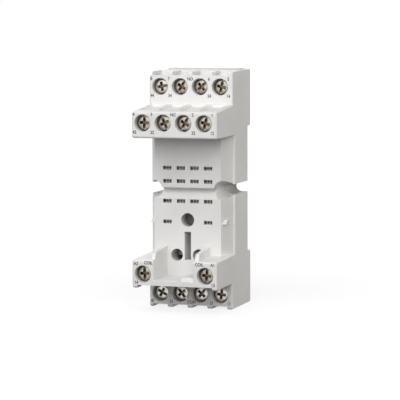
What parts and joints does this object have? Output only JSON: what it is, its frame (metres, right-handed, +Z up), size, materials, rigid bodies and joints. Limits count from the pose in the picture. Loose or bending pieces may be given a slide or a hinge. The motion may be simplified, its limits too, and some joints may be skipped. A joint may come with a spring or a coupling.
{
  "type": "relay socket",
  "caption": "Light grey screw-terminal socket for a plug-in relay: stepped terminal tiers, slotted relay plate, coil blocks, rail recess with sliding latch, panel screw notches at the waist.",
  "frame": {"origin": "middle of the rear face that the rail lies against, centred on the width and on the rail", "axes": "+X to the right seen from the front, +Y out of the back towards the rail, +Z up along the height"},
  "size_m": [0.027, 0.0348, 0.0737],
  "materials": {
    "housing_plastic": "light grey moulded plastic, fine satin grain",
    "cover_plastic": "grey moulded plastic, satin",
    "latch_plastic": "black moulded plastic, satin",
    "spring_steel": "bright drawn wire",
    "contact_metal": "tinned stamped strip",
    "clamp_metal": "zinc plated stamping",
    "screw_metal": "nickel plated, slightly warm"
  },
  "bodies": {
    "base": {"housing": "housing_plastic", "rear_cover": "cover_plastic", "latch_spring": "spring_steel", "contact_no_1": "contact_metal", "contact_no_2": "contact_metal", "contact_no_3": "contact_metal", "contact_no_4": "contact_metal", "contact_nc_1": "contact_metal", "contact_nc_2": "contact_metal", "contact_nc_3": "contact_metal", "contact_nc_4": "contact_metal", "contact_com_1": "contact_metal", "contact_com_2": "contact_metal", "contact_com_3": "contact_metal", "contact_com_4": "contact_metal", "contact_coil_1": "contact_metal", "contact_coil_2": "contact_metal"},
    "rail_latch": {"rail_latch": "latch_plastic"},
    "clamp_no_1": {"clamp_no_1": "clamp_metal"},
    "screw_no_1": {"screw_no_1": "screw_metal"},
    "clamp_no_2": {"clamp_no_2": "clamp_metal"},
    "screw_no_2": {"screw_no_2": "screw_metal"},
    "clamp_no_3": {"clamp_no_3": "clamp_metal"},
    "screw_no_3": {"screw_no_3": "screw_metal"},
    "clamp_no_4": {"clamp_no_4": "clamp_metal"},
    "screw_no_4": {"screw_no_4": "screw_metal"},
    "clamp_nc_1": {"clamp_nc_1": "clamp_metal"},
    "screw_nc_1": {"screw_nc_1": "screw_metal"},
    "clamp_nc_2": {"clamp_nc_2": "clamp_metal"},
    "screw_nc_2": {"screw_nc_2": "screw_metal"},
    "clamp_nc_3": {"clamp_nc_3": "clamp_metal"},
    "screw_nc_3": {"screw_nc_3": "screw_metal"},
    "clamp_nc_4": {"clamp_nc_4": "clamp_metal"},
    "screw_nc_4": {"screw_nc_4": "screw_metal"},
    "clamp_com_1": {"clamp_com_1": "clamp_metal"},
    "screw_com_1": {"screw_com_1": "screw_metal"},
    "clamp_com_2": {"clamp_com_2": "clamp_metal"},
    "screw_com_2": {"screw_com_2": "screw_metal"},
    "clamp_com_3": {"clamp_com_3": "clamp_metal"},
    "screw_com_3": {"screw_com_3": "screw_metal"},
    "clamp_com_4": {"clamp_com_4": "clamp_metal"},
    "screw_com_4": {"screw_com_4": "screw_metal"},
    "clamp_coil_1": {"clamp_coil_1": "clamp_metal"},
    "screw_coil_1": {"screw_coil_1": "screw_metal"},
    "clamp_coil_2": {"clamp_coil_2": "clamp_metal"},
    "screw_coil_2": {"screw_coil_2": "screw_metal"}
  },
  "joints": [
    {"name": "rail_latch_slide", "type": "slide", "parent": "base", "child": "rail_latch", "axis": [0, 0, -1], "range_m": [0, 0.0025], "stiffness_N_per_m": 800, "springref_m": -0.0015, "deforming": ["latch_spring"]},
    {"name": "clamp_no_1_slide", "type": "slide", "parent": "base", "child": "clamp_no_1", "axis": [0, 1, 0], "range_m": [0, 0.002]},
    {"name": "screw_no_1_turn", "type": "hinge", "parent": "clamp_no_1", "child": "screw_no_1", "pos_m": [-0.00999, -0.0159, 0.03225], "axis": [0, 1, 0], "range_deg": [0, 1441]},
    {"name": "clamp_no_2_slide", "type": "slide", "parent": "base", "child": "clamp_no_2", "axis": [0, 1, 0], "range_m": [0, 0.002]},
    {"name": "screw_no_2_turn", "type": "hinge", "parent": "clamp_no_2", "child": "screw_no_2", "pos_m": [-0.00353, -0.0159, 0.03225], "axis": [0, 1, 0], "range_deg": [0, 1441]},
    {"name": "clamp_no_3_slide", "type": "slide", "parent": "base", "child": "clamp_no_3", "axis": [0, 1, 0], "range_m": [0, 0.002]},
    {"name": "screw_no_3_turn", "type": "hinge", "parent": "clamp_no_3", "child": "screw_no_3", "pos_m": [0.00293, -0.0159, 0.03225], "axis": [0, 1, 0], "range_deg": [0, 1441]},
    {"name": "clamp_no_4_slide", "type": "slide", "parent": "base", "child": "clamp_no_4", "axis": [0, 1, 0], "range_m": [0, 0.002]},
    {"name": "screw_no_4_turn", "type": "hinge", "parent": "clamp_no_4", "child": "screw_no_4", "pos_m": [0.00939, -0.0159, 0.03225], "axis": [0, 1, 0], "range_deg": [0, 1441]},
    {"name": "clamp_nc_1_slide", "type": "slide", "parent": "base", "child": "clamp_nc_1", "axis": [0, 1, 0], "range_m": [0, 0.002]},
    {"name": "screw_nc_1_turn", "type": "hinge", "parent": "clamp_nc_1", "child": "screw_nc_1", "pos_m": [-0.00999, -0.0319, 0.02185], "axis": [0, 1, 0], "range_deg": [0, 1441]},
    {"name": "clamp_nc_2_slide", "type": "slide", "parent": "base", "child": "clamp_nc_2", "axis": [0, 1, 0], "range_m": [0, 0.002]},
    {"name": "screw_nc_2_turn", "type": "hinge", "parent": "clamp_nc_2", "child": "screw_nc_2", "pos_m": [-0.00353, -0.0319, 0.02185], "axis": [0, 1, 0], "range_deg": [0, 1441]},
    {"name": "clamp_nc_3_slide", "type": "slide", "parent": "base", "child": "clamp_nc_3", "axis": [0, 1, 0], "range_m": [0, 0.002]},
    {"name": "screw_nc_3_turn", "type": "hinge", "parent": "clamp_nc_3", "child": "screw_nc_3", "pos_m": [0.00293, -0.0319, 0.02185], "axis": [0, 1, 0], "range_deg": [0, 1441]},
    {"name": "clamp_nc_4_slide", "type": "slide", "parent": "base", "child": "clamp_nc_4", "axis": [0, 1, 0], "range_m": [0, 0.002]},
    {"name": "screw_nc_4_turn", "type": "hinge", "parent": "clamp_nc_4", "child": "screw_nc_4", "pos_m": [0.00939, -0.0319, 0.02185], "axis": [0, 1, 0], "range_deg": [0, 1441]},
    {"name": "clamp_com_1_slide", "type": "slide", "parent": "base", "child": "clamp_com_1", "axis": [0, 1, 0], "range_m": [0, 0.002]},
    {"name": "screw_com_1_turn", "type": "hinge", "parent": "clamp_com_1", "child": "screw_com_1", "pos_m": [-0.00999, -0.0164, -0.03185], "axis": [0, 1, 0], "range_deg": [0, 1441]},
    {"name": "clamp_com_2_slide", "type": "slide", "parent": "base", "child": "clamp_com_2", "axis": [0, 1, 0], "range_m": [0, 0.002]},
    {"name": "screw_com_2_turn", "type": "hinge", "parent": "clamp_com_2", "child": "screw_com_2", "pos_m": [-0.00353, -0.0164, -0.03185], "axis": [0, 1, 0], "range_deg": [0, 1441]},
    {"name": "clamp_com_3_slide", "type": "slide", "parent": "base", "child": "clamp_com_3", "axis": [0, 1, 0], "range_m": [0, 0.002]},
    {"name": "screw_com_3_turn", "type": "hinge", "parent": "clamp_com_3", "child": "screw_com_3", "pos_m": [0.00293, -0.0164, -0.03185], "axis": [0, 1, 0], "range_deg": [0, 1441]},
    {"name": "clamp_com_4_slide", "type": "slide", "parent": "base", "child": "clamp_com_4", "axis": [0, 1, 0], "range_m": [0, 0.002]},
    {"name": "screw_com_4_turn", "type": "hinge", "parent": "clamp_com_4", "child": "screw_com_4", "pos_m": [0.00939, -0.0164, -0.03185], "axis": [0, 1, 0], "range_deg": [0, 1441]},
    {"name": "clamp_coil_1_slide", "type": "slide", "parent": "base", "child": "clamp_coil_1", "axis": [0, 1, 0], "range_m": [0, 0.002]},
    {"name": "screw_coil_1_turn", "type": "hinge", "parent": "clamp_coil_1", "child": "screw_coil_1", "pos_m": [-0.01008, -0.032, -0.024], "axis": [0, 1, 0], "range_deg": [0, 1441]},
    {"name": "clamp_coil_2_slide", "type": "slide", "parent": "base", "child": "clamp_coil_2", "axis": [0, 1, 0], "range_m": [0, 0.002]},
    {"name": "screw_coil_2_turn", "type": "hinge", "parent": "clamp_coil_2", "child": "screw_coil_2", "pos_m": [0.00975, -0.032, -0.024], "axis": [0, 1, 0], "range_deg": [0, 1441]}
  ],
  "couplings": [
    {"joint": "screw_no_1_turn", "follows": "clamp_no_1_slide", "rad_per_m": 12566},
    {"joint": "screw_no_2_turn", "follows": "clamp_no_2_slide", "rad_per_m": 12566},
    {"joint": "screw_no_3_turn", "follows": "clamp_no_3_slide", "rad_per_m": 12566},
    {"joint": "screw_no_4_turn", "follows": "clamp_no_4_slide", "rad_per_m": 12566},
    {"joint": "screw_nc_1_turn", "follows": "clamp_nc_1_slide", "rad_per_m": 12566},
    {"joint": "screw_nc_2_turn", "follows": "clamp_nc_2_slide", "rad_per_m": 12566},
    {"joint": "screw_nc_3_turn", "follows": "clamp_nc_3_slide", "rad_per_m": 12566},
    {"joint": "screw_nc_4_turn", "follows": "clamp_nc_4_slide", "rad_per_m": 12566},
    {"joint": "screw_com_1_turn", "follows": "clamp_com_1_slide", "rad_per_m": 12566},
    {"joint": "screw_com_2_turn", "follows": "clamp_com_2_slide", "rad_per_m": 12566},
    {"joint": "screw_com_3_turn", "follows": "clamp_com_3_slide", "rad_per_m": 12566},
    {"joint": "screw_com_4_turn", "follows": "clamp_com_4_slide", "rad_per_m": 12566},
    {"joint": "screw_coil_1_turn", "follows": "clamp_coil_1_slide", "rad_per_m": 12566},
    {"joint": "screw_coil_2_turn", "follows": "clamp_coil_2_slide", "rad_per_m": 12566}
  ]
}
